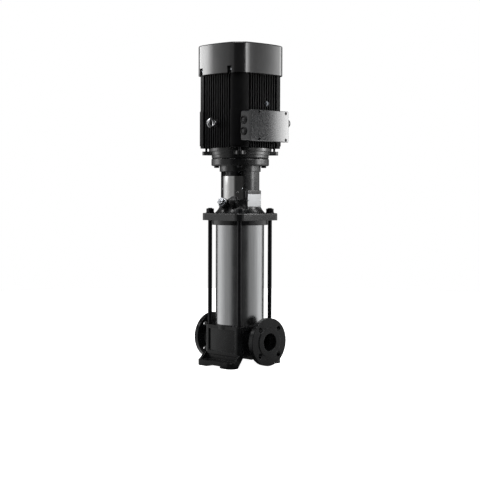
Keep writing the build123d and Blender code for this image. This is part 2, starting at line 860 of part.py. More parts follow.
def drive_end_shield():
    flange = rod(motor_flange_diameter / 2, motor_face, lug_bottom + wall_grip)
    flange = fillet(flange.edges().filter_by(GeomType.CIRCLE).group_by(Axis.Z)[0], rim_fillet)
    part = flange + lug_plate()
    part += rod(shield_diameter / 2, lug_bottom + lug_plate_thickness - wall_grip, frame_bottom)
    spigot = frame_bore / 2 - slip
    part += rod(spigot, frame_bottom - wall_grip, frame_bottom + 4)
    part += rod(motor_spigot / 2, motor_face - motor_spigot_height, motor_face + wall_grip)
    hub = bearing_outer / 2 + hub_wall
    pocket = drive_bearing_bottom + bearing_width + 3
    part -= ring(spigot - 5, hub, drive_bearing_bottom + 6, frame_bottom + 5)
    part -= rod(hub + 1, pocket, frame_bottom + 5)
    part -= rod(bearing_outer / 2 + slip, drive_bearing_bottom, frame_bottom + 5)
    part -= rod(motor_shaft_radius + 1, motor_face - motor_spigot_height - 1, drive_bearing_bottom + 1)
    for x, y in diagonals(motor_bolt_circle / 2):
        part -= rod(motor_bolt / 2 + slip, motor_face - 1, lug_bottom + 1, x, y)
    for x, y in diagonals(tie_radius):
        part -= rod(tie_bolt / 2 + slip, lug_bottom + 2, lug_bottom + lug_plate_thickness + 1, x, y)
    return part


def motor_flange_bolts():
    bolts = []
    for x, y in diagonals(motor_bolt_circle / 2):
        head = hexagon(motor_bolt_head, stool_top_underside - 7, stool_top_underside, x, y)
        bolts.append(head + rod(motor_bolt / 2, stool_top_underside - 1, lug_bottom, x, y))
    return bolts


def motor_tie_bolts():
    bolts = []
    for x, y in diagonals(tie_radius):
        stem = rod(tie_bolt / 2, lug_bottom + 3, rear_shield_top + 1, x, y)
        bolts.append(stem + hexagon(13.0, rear_shield_top, rear_shield_top + 6, x, y))
    return bolts


def frame_section():
    """Cross-section of the finned frame: round core, four solid corners and straight fins."""
    flat = half_frame - frame_corner
    core = Circle(core_outer())
    square = RectangleRounded(frame_width, frame_width, frame_corner)
    corner = Rectangle(frame_width, frame_width) - Rectangle(2 * flat, frame_width + 2) - Rectangle(
        frame_width + 2, 2 * flat)
    section = core + (square & corner)
    for i in range(4):
        web = Pos(core_outer(), 0) * Rectangle(2 * lug_radius, 2 * lug_radius)
        section += Rot(0, 0, 45 + 90 * i) * web
    pitch = 2 * flat / (fin_count + 1)
    fins = [Pos(-flat + pitch * (i + 1), 0) * Rectangle(fin_thickness, frame_width) for i in range(fin_count)]
    upright = Sketch() + fins
    section += upright
    section += Rot(0, 0, 90) * upright
    return section - Circle(frame_bore / 2)


def core_outer():
    return frame_bore / 2 + frame_wall


def corner_pads():
    """Slightly raised seats on the four corners near the lower end of the frame."""
    flat = half_frame - frame_corner
    square = RectangleRounded(frame_width + 2 * corner_pad_proud, frame_width + 2 * corner_pad_proud,
                              frame_corner + corner_pad_proud)
    inner = RectangleRounded(frame_width - 2, frame_width - 2, frame_corner - 1)
    low = frame_bottom + corner_pad_lift
    pad = prism(square - inner, low, low + corner_pad_height)
    middle = Rectangle(2 * flat, frame_width * 2) + Rectangle(frame_width * 2, 2 * flat)
    return pad - prism(middle, low - 1, low + corner_pad_height + 1)


def stator_housing():
    housing = prism(frame_section(), frame_bottom, frame_top)
    housing += corner_pads()
    half = box_width / 2
    platform = block(frame_bore / 2 + 2, half_frame, box_centre_y - half + 25, box_centre_y + half - 25,
                     box_low_z + 12, box_high_z - 12)
    housing += platform
    housing -= block(box_back, half_frame + 10, box_low_y - side_gap, box_high_y + side_gap,
                     box_low_z - side_gap, box_high_z + side_gap)
    boss = block(eye_x - 12, eye_x + 12, -half_frame, -frame_bore / 2 - 2, eye_height - 12, eye_height + 12)
    housing += boss
    housing += block(frame_bore / 2 + 2, half_frame, earth_y - 9, earth_y + 9, earth_z - 9, earth_z + 9)
    housing -= along((eye_x, -half_frame, eye_height), (0, -1, 0),
                     Pos(0, 0, -16) * Cylinder(eye_shank / 2 + slip, 17, align=BOTTOM))
    housing -= along((half_frame, earth_y, earth_z), (1, 0, 0),
                     Pos(0, 0, -10) * Cylinder(2.5 + slip, 11, align=BOTTOM))
    for x, y in diagonals(tie_radius):
        housing -= rod(tie_bolt / 2 + slip, frame_bottom - 1, frame_top + 1, x, y)
    return housing


def stator_core():
    return ring(frame_bore / 2 - slip, core_bore / 2, core_bottom, core_bottom + core_length)


def stator_windings():
    outer = frame_bore / 2 - 7
    inner = outer - winding_thickness
    high = core_bottom + core_length
    return [ring(outer, inner, core_bottom - winding_overhang, core_bottom),
            ring(outer, inner, high, high + winding_overhang)]


def rotor_core():
    outer = core_bore / 2 - air_gap
    body = ring(outer, bearing_bore / 2 + 4 + slip, core_bottom, core_bottom + core_length)
    body += ring(outer - 4, outer - 20, core_bottom - 12, core_bottom + wall_grip)
    high = core_bottom + core_length
    return body + ring(outer - 4, outer - 20, high - wall_grip, high + 12)


def motor_shaft_piece():
    seat = bearing_bore / 2
    bearing_top = drive_bearing_bottom + bearing_width
    return turned((0, motor_shaft_end), (motor_shaft_radius, motor_shaft_end),
                  (motor_shaft_radius, drive_bearing_bottom), (seat, drive_bearing_bottom),
                  (seat, bearing_top), (seat + 4, bearing_top), (seat + 4, rear_bearing_bottom),
                  (seat, rear_bearing_bottom), (seat, rear_bearing_bottom + bearing_width),
                  (fan_shaft / 2, rear_bearing_bottom + bearing_width),
                  (fan_shaft / 2, fan_bottom + fan_height + 4), (0, fan_bottom + fan_height + 4))


def bearing(low):
    """Sealed ball bearing: the shield faces lie back from both rings."""
    bore, outer = bearing_bore / 2 + slip, bearing_outer / 2
    inner_race, outer_race = bore + race_width, outer - race_width
    high = low + bearing_width
    under, over = low + bearing_seal_inset, high - bearing_seal_inset
    return turned((bore, low), (inner_race, low), (inner_race, under), (outer_race, under),
                  (outer_race, low), (outer, low), (outer, high), (outer_race, high),
                  (outer_race, over), (inner_race, over), (inner_race, high), (bore, high))


def rear_end_shield():
    hub = bearing_outer / 2 + hub_wall
    plate_bottom = rear_shield_top - rear_shield_plate
    side = frame_width - 2 * side_gap
    shield = rounded_block(side, side, frame_corner, frame_top, rear_shield_top)
    shield -= rod(frame_bore / 2, frame_top - 1, plate_bottom)
    shield += rod(hub, rear_bearing_bottom, plate_bottom + wall_grip)
    shield -= rod(bearing_outer / 2 + slip, rear_bearing_bottom - 1, rear_bearing_bottom + bearing_width)
    shield -= rod(fan_shaft / 2 + 2, rear_bearing_bottom, rear_shield_top + 1)
    for x, y in diagonals(tie_radius):
        shield -= rod(tie_bolt / 2 + slip, frame_top - 1, rear_shield_top + 1, x, y)
    reach = dimple_seat - cover_wall - side_gap
    for x in (-cover_screw_x, cover_screw_x):
        for side_y in (-1, 1):
            notch = block(x - dimple_width / 2 - 3, x + dimple_width / 2 + 3, reach, half_frame + 5,
                          frame_top - 1, rear_shield_top + 1)
            hole = along((x, reach + 1, frame_top + cover_screw_rise), (0, -1, 0),
                         Cylinder(cover_screw / 2 + slip, 14, align=BOTTOM))
            cut = notch + hole
            shield -= cut if side_y > 0 else mirror(cut, Plane.XZ)
    return shield


def bowed_square(inset):
    """Plan of the fan cover, inset from its outside: four bowed sides and large round corners."""
    plan = Circle(cover_bow - inset)
    centre = cover_reach - cover_bow
    plan = Pos(centre, 0) * plan & Pos(-centre, 0) * plan & Pos(0, centre) * plan & Pos(0, -centre) * plan
    return fillet(plan.vertices(), cover_corner - inset)


def dimple(x, side, wall):
    """Room taken by the recess for one cover screw, with wall added round it."""
    half = dimple_width / 2 + wall
    floor, mouth = sorted((side * (dimple_seat - wall), side * cover_reach))
    return block(x - half, x + half, floor, mouth, frame_top - 1, frame_top + dimple_height + wall)


def grille_cuts():
    """Air slots in rings round the centre of the cover."""
    cuts = []
    for n in range(grille_rings):
        radius = grille_inner + n * grille_pitch
        count = grille_slots + 8 * n
        slot = block(radius, radius + grille_slot_length, -grille_slot_width / 2, grille_slot_width / 2,
                     top - cover_wall - 1, top + 1)
        cuts += around(count, slot)
    return cuts


def fan_cover():
    cover = prism(bowed_square(0), frame_top, top)
    cover = fillet(cover.edges().group_by(Axis.Z)[-1], cover_edge)
    inside = prism(bowed_square(cover_wall), frame_top - 1, top - cover_wall)
    recesses = []
    for x in (-cover_screw_x, cover_screw_x):
        for side in (-1, 1):
            inside -= dimple(x, side, cover_wall)
            hole = Pos(x, side * dimple_seat, frame_top + cover_screw_rise) * Rot(90, 0, 0) * Cylinder(
                cover_screw / 2 + slip, 3 * cover_wall)
            recesses += [dimple(x, side, 0), hole]
    return cover - inside - Compound(children=recesses + grille_cuts())


def fan_cover_screws():
    screws = []
    for x in (-cover_screw_x, cover_screw_x):
        for side in (-1, 1):
            head = Cylinder(cover_screw * 0.9, 3.0, align=BOTTOM)
            stem = Pos(0, 0, -12) * Cylinder(cover_screw / 2, 12, align=BOTTOM)
            place = (x, side * dimple_seat, frame_top + cover_screw_rise)
            screws.append(along(place, (0, side, 0), head + stem))
    return screws


def cooling_fan():
    hub = fan_hub / 2
    tip = fan_diameter / 2
    fan = rod(hub, fan_bottom, fan_bottom + fan_height)
    fan += rod(tip - 22, fan_bottom, fan_bottom + 3)
    blade = block(hub - 1, tip, -1.5, 1.5, fan_bottom, fan_bottom + fan_height - 3)
    for copy in around(fan_blades, blade):
        fan += copy
    return fan - rod(fan_shaft / 2 + slip, fan_bottom - 1, fan_bottom + fan_height + 1)


# ---- terminal box ----
def box_outline(shrink, corner):
    face = RectangleRounded(box_width - 2 * shrink, box_height - 2 * shrink, corner)
    return Plane(origin=(0, box_centre_y, box_centre_z), x_dir=(0, 1, 0), z_dir=(1, 0, 0)) * face


def box_slab(shrink, corner, x0, x1):
    return Pos(x0, 0, 0) * extrude(box_outline(shrink, corner), x1 - x0)


def lid_screw_places():
    high = box_high_z - lid_screw_inset
    low = box_low_z + lid_screw_inset
    return [(y, z) for y in (lid_screw_low_y, lid_screw_high_y) for z in (low, high)]


def entry_places():
    """Cable entries: side, X and level of each."""
    low, high = box_centre_z - entry_pitch / 2, box_centre_z + entry_pitch / 2
    near, far = box_back + entry_set, box_back + side_entry_set
    return [(-1, near, low), (-1, near, high), (1, far, box_centre_z + side_entry_rise)]


def entry_base(side):
    return (box_high_y if side > 0 else box_low_y) - side * 1.5


def terminal_box():
    body = box_slab(1.5, box_corner, box_back, box_front - 5)
    body += box_slab(0, box_corner + 1, box_front - 5, box_front)
    body -= box_slab(1.5 + box_wall, box_corner - box_wall, box_back + box_wall, box_front + 1)
    for y, z in lid_screw_places():
        post = along((box_back + box_wall - 1, y, z), (1, 0, 0),
                     Cylinder(7.0, box_front - box_back - box_wall + 1, align=BOTTOM))
        body += post
        body -= along((box_front - 14, y, z), (1, 0, 0), Cylinder(lid_screw / 2 + slip, 20, align=BOTTOM))
    for side, x, z in entry_places():
        body -= along((x, entry_base(side) - side * 12, z), (0, side, 0),
                      Cylinder(entry_diameter / 2 + slip, 20, align=BOTTOM))
    return body


def terminal_gasket():
    gasket = box_slab(2.0, box_corner - 1, box_front, lid_back)
    gasket -= box_slab(1.5 + box_wall, box_corner - box_wall, box_front - 1, lid_back + 1)
    for y, z in lid_screw_places():
        gasket += along((box_front, y, z), (1, 0, 0), Cylinder(7.0, box_gasket, align=BOTTOM))
        gasket -= along((box_front - 1, y, z), (1, 0, 0), Cylinder(lid_screw / 2 + slip, 4, align=BOTTOM))
    return gasket


def terminal_lid():
    lid = box_slab(0, box_corner - 4, lid_back, lid_front)
    front = lid.faces().sort_by(Axis.X)[-1]
    lid = fillet(front.edges(), 2.0)
    lid -= box_slab(1.5 + box_wall, box_corner - box_wall, lid_back - 1, lid_back + 3)
    for y, z in lid_screw_places():
        lid += along((lid_back, y, z), (1, 0, 0), Cylinder(7.0, 5.0, align=BOTTOM))
        lid -= along((lid_back - 1, y, z), (1, 0, 0), Cylinder(lid_screw / 2 + 0.3, 20, align=BOTTOM))
        lid -= along((lid_front - lid_screw_sink, y, z), (1, 0, 0),
                     Cylinder(lid_screw_head / 2 + 0.7, 20, align=BOTTOM))
    return lid


def lid_screws():
    screws = []
    for y, z in lid_screw_places():
        stem = Pos(0, 0, -lid_screw_length) * Cylinder(lid_screw / 2, lid_screw_length, align=BOTTOM)
        head = Cylinder(lid_screw_head / 2, lid_screw_head_height, align=BOTTOM)
        screws.append(along((lid_front - lid_screw_sink, y, z), (1, 0, 0), head + stem))
    return screws


def terminal_block():
    floor = box_back + box_wall
    block_y = box_centre_y
    body = block(floor, floor + 14, block_y - 38, block_y + 38, box_centre_z - 20, box_centre_z + 20)
    for i in range(3):
        for z in (box_centre_z - 11, box_centre_z + 11):
            stud = Cylinder(2.5, 24, align=BOTTOM)
            body += along((floor, block_y - 25 + 25 * i, z), (1, 0, 0), stud)
    return body


def cable_entry_plugs():
    plugs = []
    for side, x, z in entry_places():
        length = entry_head_length if side < 0 else side_entry_length
        stem = Pos(0, 0, -8) * Cylinder(entry_diameter / 2, 8, align=BOTTOM)
        head = Cylinder(entry_head / 2, length, align=BOTTOM)
        head = chamfer(head.edges().group_by(Axis.Z)[-1], 1.5)
        plugs.append(along((x, entry_base(side), z), (0, side, 0), head + stem))
    return plugs


# ---- small motor parts ----
def lifting_eye():
    collar_top = 5.0
    centre = collar_top + eye_ring / 2 + eye_wire / 2 - 2
    ring_shape = Pos(0, 0, centre) * Rot(90, 0, 0) * Torus(eye_ring / 2, eye_wire / 2)
    part = ring_shape + Cylinder(eye_collar / 2, collar_top, align=BOTTOM)
    part += Cylinder(eye_shank / 2 + 1.5, collar_top + 4, align=BOTTOM)
    part += Pos(0, 0, -14) * Cylinder(eye_shank / 2, 15, align=BOTTOM)
    return along((eye_x, -half_frame, eye_height), (0, -1, 0), part)


def earth_terminal():
    washer = Rot(0, 0, 45) * Box(earth_width, earth_width, 2.0, align=BOTTOM)
    stem = Pos(0, 0, -8) * Cylinder(2.5, 8, align=BOTTOM)
    part = washer + stem + Pos(0, 0, 2) * Cylinder(4.5, 3.5, align=BOTTOM)
    return along((half_frame, earth_y, earth_z), (1, 0, 0), part)


# ---- export ----
def build_nodes():
    nodes = {
        "base_casting": base_casting(),
        "drain_plug": drain_plug(),
        "inlet_guide": inlet_guide(),
        "outer_sleeve": outer_sleeve(),
        "sleeve_gaskets": sleeve_gaskets(),
        "staybolts": staybolts(),
        "staybolt_nuts": staybolt_nuts(),
        "discharge_guide": discharge_guide(),
        "pump_head": pump_head(),
        "vent_plug": vent_plug(),
        "priming_plug": priming_plug(),
        "seal_seat": seal_seat(),
        "seal_ring": seal_ring(),
        "front_coupling_guard": coupling_guard(-90),
        "rear_coupling_guard": coupling_guard(90),
        "guard_screws": guard_screws(),
        "nameplate": nameplate(),
        "nameplate_rivets": nameplate_rivets(),
        "pump_shaft": pump_shaft(),
        "coupling_half_right": coupling_half(1),
        "coupling_half_left": coupling_half(-1),
        "coupling_screws": coupling_screws(),
        "drive_end_shield": drive_end_shield(),
        "motor_flange_bolts": motor_flange_bolts(),
        "motor_tie_bolts": motor_tie_bolts(),
        "stator_housing": stator_housing(),
        "stator_core": stator_core(),
        "stator_windings": stator_windings(),
        "rotor_core": rotor_core(),
        "motor_shaft": motor_shaft_piece(),
        "drive_end_bearing": bearing(drive_bearing_bottom),
        "rear_bearing": bearing(rear_bearing_bottom),
        "rear_end_shield": rear_end_shield(),
        "fan_cover": fan_cover(),
        "fan_cover_screws": fan_cover_screws(),
        "cooling_fan": cooling_fan(),
        "terminal_box": terminal_box(),
        "terminal_gasket": terminal_gasket(),
        "terminal_lid": terminal_lid(),
        "lid_screws": lid_screws(),
        "terminal_block": terminal_block(),
        "cable_entry_plugs": cable_entry_plugs(),
        "lifting_eye": lifting_eye(),
        "earth_terminal": earth_terminal(),
    }
    wheel, casing = impeller(), stage_chamber()
    for stage in range(stage_count):
        level = stack_bottom + stage * stage_height
        nodes[f"impeller_{stage + 1}"] = Pos(0, 0, level) * wheel
        nodes[f"stage_chamber_{stage + 1}"] = Pos(0, 0, level) * casing
    return nodes


os.makedirs("parts", exist_ok=True)
for name, shape in build_nodes().items():
    whole = Compound(children=shape) if isinstance(shape, list) else shape
    export_step(whole, f"parts/{name}.step")
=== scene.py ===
import json
from math import cos, degrees, radians, sin

import bmesh
import bpy
from mathutils import Matrix, Vector


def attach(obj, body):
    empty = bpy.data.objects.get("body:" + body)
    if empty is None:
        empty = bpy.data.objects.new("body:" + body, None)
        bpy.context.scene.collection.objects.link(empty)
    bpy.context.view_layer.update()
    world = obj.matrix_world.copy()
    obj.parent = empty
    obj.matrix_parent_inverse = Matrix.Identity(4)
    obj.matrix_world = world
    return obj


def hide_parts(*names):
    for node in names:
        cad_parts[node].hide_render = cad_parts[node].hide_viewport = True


# A vertical multistage pump with a flange-mounted motor: materials, fasteners, light and camera.

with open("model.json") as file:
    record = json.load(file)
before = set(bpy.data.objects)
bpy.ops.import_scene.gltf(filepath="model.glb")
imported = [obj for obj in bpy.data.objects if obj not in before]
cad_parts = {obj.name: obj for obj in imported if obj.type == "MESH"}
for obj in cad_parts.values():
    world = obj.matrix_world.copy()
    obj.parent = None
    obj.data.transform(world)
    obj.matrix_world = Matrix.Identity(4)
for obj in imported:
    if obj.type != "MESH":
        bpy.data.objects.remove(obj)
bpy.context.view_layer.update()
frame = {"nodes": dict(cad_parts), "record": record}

MM = 0.001
SIGHT = radians(-44.0)          # where the camera stands round the pump
RIGHT = Vector((-sin(SIGHT), cos(SIGHT), 0.0))
AWAY = Vector((-cos(SIGHT), -sin(SIGHT), 0.0))
UP = Vector((0.0, 0.0, 1.0))
FAR_SIDE = Vector((0.0, 1.0, 0.0))
CAMERA_DISTANCE = 4.0
CAMERA_HEIGHT = 0.6019
CAMERA_TURN = (45.9968, 90 - 2.359, 0.1774)              # degrees: round, up from straight down, roll
CAMERA_LENS = 85.333
FLOOR_RADIUS = 3.2
ROOM_LEVEL = 0.5                # of the light that reaches matt surfaces from all sides
LAMP_AIM = Vector((0.0, 0.0, 0.55))
WELD = 0.01 * MM                # points nearer than this are one point
TURNED_SIDES = 48
HEAD_EDGE = 32.0                # degrees of turn at which an edge is left sharp
PLUG_EDGE = 35.0


# ---- nodes ----
def add(tree, kind, inputs=None, **settings):
    """Adds one node: settings are its own, inputs are values or links for its sockets."""
    node = tree.nodes.new(kind)
    for name, value in settings.items():
        setattr(node, name, value)
    for key, value in (inputs or {}).items():
        if isinstance(value, bpy.types.NodeSocket):
            tree.links.new(value, node.inputs[key])
        else:
            node.inputs[key].default_value = value
    return node


def colour(code):
    """Linear colour of an sRGB hex value."""
    steps = [int(code[i:i + 2], 16) / 255 for i in (1, 3, 5)]
    return tuple(s / 12.92 if s <= 0.04045 else ((s + 0.055) / 1.055) ** 2.4 for s in steps) + (1.0,)


def begin(name):
    """An empty material: itself, its tree and the place of each point of the piece."""
    material = bpy.data.materials.new(name)
    material.use_nodes = True
    material.node_tree.nodes.clear()
    tree = material.node_tree
    return material, tree, add(tree, "ShaderNodeTexCoord").outputs["Object"]


def close(material, shader):
    """Gives the material its surface and returns it."""
    add(material.node_tree, "ShaderNodeOutputMaterial", {"Surface": shader.outputs[0]})
    return material


def drift(tree, place, size, low, high):
    """A value that wanders from low to high over patches of size mm."""
    cloud = add(tree, "ShaderNodeTexNoise", {"Vector": place, "Scale": 1 / (size * MM), "Detail": 3.0})
    return add(tree, "ShaderNodeMapRange", {"Value": cloud.outputs[0], "From Min": 0.3, "From Max": 0.7,
                                            "To Min": low, "To Max": high}).outputs[0]


def blend(tree, place, size, first, second):
    """A colour that wanders between two hex colours over patches of size mm."""
    return add(tree, "ShaderNodeMix", {0: drift(tree, place, size, 0.0, 1.0), 6: colour(first),
                                       7: colour(second)}, data_type="RGBA").outputs[2]


def relief(tree, place, edge, layers):
    """Surface direction of rounded edges with bumps: layers hold the size and depth of each in mm."""
    facing = add(tree, "ShaderNodeBevel", {"Radius": edge * MM}, samples=6).outputs[0]
    for size, depth in layers:
        cloud = add(tree, "ShaderNodeTexNoise", {"Vector": place, "Scale": 1 / (size * MM), "Detail": 2.0})
        facing = add(tree, "ShaderNodeBump", {"Height": cloud.outputs[0], "Distance": depth * MM,
                                              "Normal": facing}).outputs[0]
    return facing


# ---- finishes of the castings and sheet ----
def enamelled_iron(name, shine):
    """Sand-cast grey iron under black electrophoretic enamel: satin, with a fine sand skin and slow waves."""
    material, tree, place = begin(name)
    return close(material, add(tree, "ShaderNodeBsdfPrincipled", {
        "Base Color": blend(tree, place, 30, "#070708", "#0e0f10"), "Roughness": drift(tree, place, 12, 0.22, 0.3),
        "IOR": 1.5, "Specular IOR Level": shine,
        "Normal": relief(tree, place, 2.4, ((28, 0.5), (3, 0.04), (0.9, 0.01)))}))


def painted_aluminium():
    """Die-cast aluminium motor shell sprayed black: smooth satin paint, its edges softly rounded."""
    material, tree, place = begin("painted_motor_aluminium")
    return close(material, add(tree, "ShaderNodeBsdfPrincipled", {
        "Base Color": blend(tree, place, 40, "#030304", "#060607"), "Roughness": drift(tree, place, 20, 0.5, 0.6),
        "IOR": 1.45, "Specular IOR Level": 0.12,
        "Normal": relief(tree, place, 1.0, ((40, 0.3), (2.2, 0.015)))}))


def painted_cover_sheet():
    """Deep-drawn steel sheet with baked black paint: glossy, with a faint orange peel."""
    material, tree, place = begin("baked_black_cover_paint")
    return close(material, add(tree, "ShaderNodeBsdfPrincipled", {
        "Base Color": colour("#0a0a0b"), "Roughness": drift(tree, place, 30, 0.28, 0.34),
        "IOR": 1.5, "Coat Weight": 1.0, "Coat Roughness": 0.1,
        "Normal": relief(tree, place, 1.2, ((90, 0.5), (2.6, 0.02)))}))


def box_powder_coat():
    """Die-cast terminal box with dark grey powder coat: even, slightly pebbled, satin."""
    material, tree, place = begin("grey_powder_coat")
    return close(material, add(tree, "ShaderNodeBsdfPrincipled", {
        "Base Color": blend(tree, place, 25, "#121315", "#151618"), "Roughness": drift(tree, place, 15, 0.24, 0.3),
        "IOR": 1.5, "Coat Weight": 1.0, "Coat Roughness": 0.1,
        "Specular IOR Level": 0.15, "Normal": relief(tree, place, 1.2, ((1.6, 0.001),))}))


# ---- finishes of bare metal ----
def brushed_sleeve():
    """Drawn stainless tube, ground lengthways: long fine lines that spread the light sideways."""
    material, tree, place = begin("ground_stainless_tube")
    lines = add(tree, "ShaderNodeMapping", {"Vector": place, "Scale": (
        1 / (0.9 * MM), 1 / (0.9 * MM), 1 / (160 * MM))}).outputs[0]
    cloud = add(tree, "ShaderNodeTexNoise", {"Vector": lines, "Scale": 1.0, "Detail": 3.0})
    facing = add(tree, "ShaderNodeBump", {"Height": cloud.outputs[0], "Distance": 0.012 * MM}).outputs[0]
    return close(material, add(tree, "ShaderNodeBsdfPrincipled", {
        "Base Color": blend(tree, lines, 1000, "#b6b7b8", "#cbcccd"), "Metallic": 1.0,
        "Roughness": drift(tree, place, 60, 0.2, 0.27), "Anisotropic": 0.6,
        "Tangent": add(tree, "ShaderNodeTangent", direction_type="RADIAL", axis="Z").outputs[0],
        "Normal": facing}))


def polished_sheet():
    """Bright-annealed stainless sheet of the guards: nearly a mirror, with slight waves from rolling."""
    material, tree, place = begin("polished_stainless_sheet")
    return close(material, add(tree, "ShaderNodeBsdfPrincipled", {
        "Base Color": colour("#cfcfce"), "Metallic": 1.0, "Roughness": drift(tree, place, 25, 0.12, 0.2),
        "Normal": relief(tree, place, 0.4, ((45, 0.25), (0.7, 0.004)))}))


def wetted_stainless():
    """Pressed and laser-welded stainless of the hydraulics: pickled, dull silver."""
    material, tree, place = begin("pickled_stainless")
    return close(material, add(tree, "ShaderNodeBsdfPrincipled", {
        "Base Color": blend(tree, place, 18, "#a9a8a5", "#bdbcb9"), "Metallic": 1.0,
        "Roughness": drift(tree, place, 9, 0.3, 0.42), "Normal": relief(tree, place, 0.4, ((1.2, 0.02),))}))


def turned_steel():
    """Turned steel under clear zinc: bright, with fine tool marks."""
    material, tree, place = begin("turned_zinc_plated_steel")
    marks = add(tree, "ShaderNodeTexNoise", {"Vector": place, "Scale": 1 / (0.8 * MM), "Detail": 1.0})
    facing = add(tree, "ShaderNodeBump", {
        "Height": marks.outputs[0], "Distance": 0.02 * MM,
        "Normal": add(tree, "ShaderNodeBevel", {"Radius": 0.5 * MM}, samples=6).outputs[0]}).outputs[0]
    return close(material, add(tree, "ShaderNodeBsdfPrincipled", {
        "Base Color": blend(tree, place, 8, "#b3b4b6", "#c6c7c9"), "Metallic": 1.0,
        "Roughness": drift(tree, place, 6, 0.24, 0.34), "Normal": facing}))


def zinc_fasteners():
    """Small zinc-plated screws and brass-bodied plugs with nickel: bluish white, fairly bright."""
    material, tree, place = begin("zinc_plated_screws")
    return close(material, add(tree, "ShaderNodeBsdfPrincipled", {
        "Base Color": blend(tree, place, 5, "#bcc0c6", "#d2d4d7"), "Metallic": 1.0,
        "Roughness": drift(tree, place, 4, 0.2, 0.3), "Normal": relief(tree, place, 0.4, ((1.5, 0.006),))}))


def black_oxide():
    """Black-oxidised steel of the studs, nuts and bolts: oily dark metal with softly rounded edges."""
    material, tree, place = begin("black_oxide_steel")
    return close(material, add(tree, "ShaderNodeBsdfPrincipled", {
        "Base Color": blend(tree, place, 10, "#1b1b1d", "#29292b"), "Metallic": 0.85,
        "Roughness": drift(tree, place, 5, 0.3, 0.42), "Normal": relief(tree, place, 0.7, ((1.4, 0.008),))}))


def brushed_plate():
    """Bare brushed aluminium of the rating plate: level fine lines, no print."""
    material, tree, place = begin("brushed_bare_aluminium")
    lines = add(tree, "ShaderNodeMapping", {"Vector": place, "Scale": (
        1 / (0.5 * MM), 1 / (40 * MM), 1 / (0.5 * MM))}).outputs[0]
    cloud = add(tree, "ShaderNodeTexNoise", {"Vector": lines, "Scale": 1.0, "Detail": 2.0})
    return close(material, add(tree, "ShaderNodeBsdfPrincipled", {
        "Base Color": colour("#a9aaab"), "Metallic": 1.0, "Roughness": drift(tree, place, 15, 0.34, 0.42),
        "Normal": add(tree, "ShaderNodeBump", {"Height": cloud.outputs[0],
                                               "Distance": 0.01 * MM}).outputs[0]}))


# ---- finishes of the other parts ----
def moulded_polyamide():
    """Glass-filled polyamide plugs and fan: matt dark grey with a spark-eroded mould texture."""
    material, tree, place = begin("moulded_polyamide")
    return close(material, add(tree, "ShaderNodeBsdfPrincipled", {
        "Base Color": blend(tree, place, 12, "#0c0c0d", "#151517"), "Roughness": drift(tree, place, 8, 0.38, 0.48),
        "IOR": 1.53, "Normal": relief(tree, place, 0.8, ((0.8, 0.04),))}))


def sealing_rubber():
    """Black EPDM rubber of the gaskets: dull and slightly mottled."""
    material, tree, place = begin("epdm_rubber")
    return close(material, add(tree, "ShaderNodeBsdfPrincipled", {
        "Base Color": blend(tree, place, 6, "#080808", "#101010"), "Roughness": drift(tree, place, 4, 0.6, 0.75),
        "IOR": 1.52, "Specular IOR Level": 0.3, "Normal": relief(tree, place, 0.5, ((1.0, 0.05),))}))


def seal_carbide():
    """Lapped silicon carbide of the shaft seal: dark grey ceramic with a soft gloss."""
    material, tree, place = begin("lapped_silicon_carbide")
    return close(material, add(tree, "ShaderNodeBsdfPrincipled", {
        "Base Color": blend(tree, place, 3, "#2b2d30", "#3b3d40"), "Roughness": drift(tree, place, 2, 0.18, 0.28),
        "IOR": 2.0, "Normal": relief(tree, place, 0.3, ((0.8, 0.01),))}))


def core_sheets():
    """Stacked electrical steel: thin blued sheets, drawn 2 mm thick so that they show."""
    material, tree, place = begin("laminated_core_steel")
    bands = add(tree, "ShaderNodeTexWave", {"Vector": place, "Scale": 0.314 / (2 * MM)}, wave_type="BANDS",
                bands_direction="Z")
    return close(material, add(tree, "ShaderNodeBsdfPrincipled", {
        "Base Color": blend(tree, place, 14, "#4a4d52", "#5b5e62"), "Metallic": 0.9,
        "Roughness": drift(tree, place, 7, 0.4, 0.5),
        "Normal": add(tree, "ShaderNodeBump", {"Height": bands.outputs[1], "Distance": 0.2 * MM}).outputs[0]}))


def winding_wire():
    """Enamelled copper wire laid round the core, 1.5 mm thick, under red-brown varnish."""
    material, tree, place = begin("enamelled_copper_wire")
    turns = add(tree, "ShaderNodeTexWave", {"Vector": place, "Scale": 0.314 / (1.5 * MM), "Distortion": 1.5},
                wave_type="BANDS", bands_direction="Z")
    return close(material, add(tree, "ShaderNodeBsdfPrincipled", {
        "Base Color": blend(tree, place, 5, "#7c3b20", "#a5532c"), "Metallic": 0.8,
        "Roughness": drift(tree, place, 4, 0.25, 0.35), "Coat Weight": 0.8, "Coat Roughness": 0.12,
        "Normal": add(tree, "ShaderNodeBump", {"Height": turns.outputs[1], "Distance": 0.6 * MM}).outputs[0]}))


FINISHES = {
    "black_cast_iron": enamelled_iron("enamelled_cast_iron", 0.65),
    "dull_base_iron": enamelled_iron("enamelled_base_iron", 0.3), "black_motor_paint": painted_aluminium(),
    "black_cover_paint": painted_cover_sheet(), "dark_box_paint": box_powder_coat(),
    "stainless_sleeve": brushed_sleeve(), "stainless_sheet": polished_sheet(),
    "stainless_wet_parts": wetted_stainless(), "black_fasteners": black_oxide(),
    "bright_fasteners": zinc_fasteners(), "bright_steel": turned_steel(), "bare_plate": brushed_plate(),
    "black_plastic": moulded_polyamide(), "rubber_seals": sealing_rubber(), "seal_faces": seal_carbide(),
    "core_steel": core_sheets(), "copper_winding": winding_wire(),
}

SLOTS = {part["node"]: part["material_slot"] for part in frame["record"]["subparts"]}
